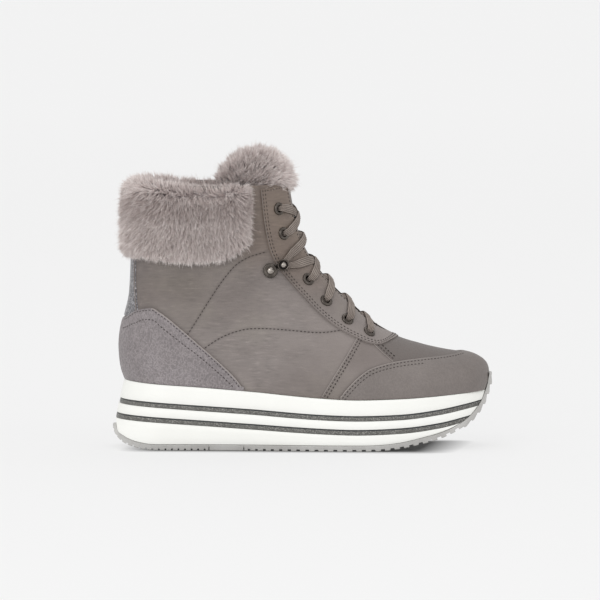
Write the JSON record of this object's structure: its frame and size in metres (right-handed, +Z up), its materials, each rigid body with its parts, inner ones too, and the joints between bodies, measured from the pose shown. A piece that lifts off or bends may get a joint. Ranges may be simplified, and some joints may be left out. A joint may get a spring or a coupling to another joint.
{
  "type": "fur-cuffed platform sneaker boot",
  "caption": "Right-foot high-top lace-up sneaker boot with a turned-down fur cuff, a fur-topped tongue, a hollow leather upper and a striped platform sole.",
  "frame": {"origin": "on the floor, under the middle of the boot's bounding box", "axes": "+X from heel to toe, +Y to the inner (medial) side of the right foot, +Z up from the floor"},
  "size_m": [0.2673, 0.1015, 0.2125],
  "materials": {
    "leather": "smooth matt nubuck-like leather",
    "grained_leather": "fine pebble grain, matt",
    "fur": "long soft faux fur",
    "fleece": "short fleece",
    "foam": "smooth white moulded foam",
    "glitter": "dark grey glitter film",
    "tread": "matt moulded rubber",
    "lace": "flat ribbed braid",
    "gunmetal": "polished dark nickel plate"
  },
  "bodies": {
    "root": {"outsole": "tread", "midsole": "foam", "stripe_upper": "glitter", "stripe_lower": "glitter", "insole": "fleece", "upper": "leather", "heel_counter": "grained_leather", "toe_guard": "leather", "tongue": "leather", "tongue_fur": "fur", "fur_cuff": "fur", "hook_lateral": "gunmetal", "hook_medial": "gunmetal", "lace": "lace", "eyelet_lateral_1": "gunmetal", "eyelet_lateral_2": "gunmetal", "eyelet_lateral_3": "gunmetal", "eyelet_lateral_4": "gunmetal", "eyelet_lateral_5": "gunmetal", "eyelet_lateral_6": "gunmetal", "eyelet_medial_1": "gunmetal", "eyelet_medial_2": "gunmetal", "eyelet_medial_3": "gunmetal", "eyelet_medial_4": "gunmetal", "eyelet_medial_5": "gunmetal", "eyelet_medial_6": "gunmetal"}
  },
  "joints": []
}
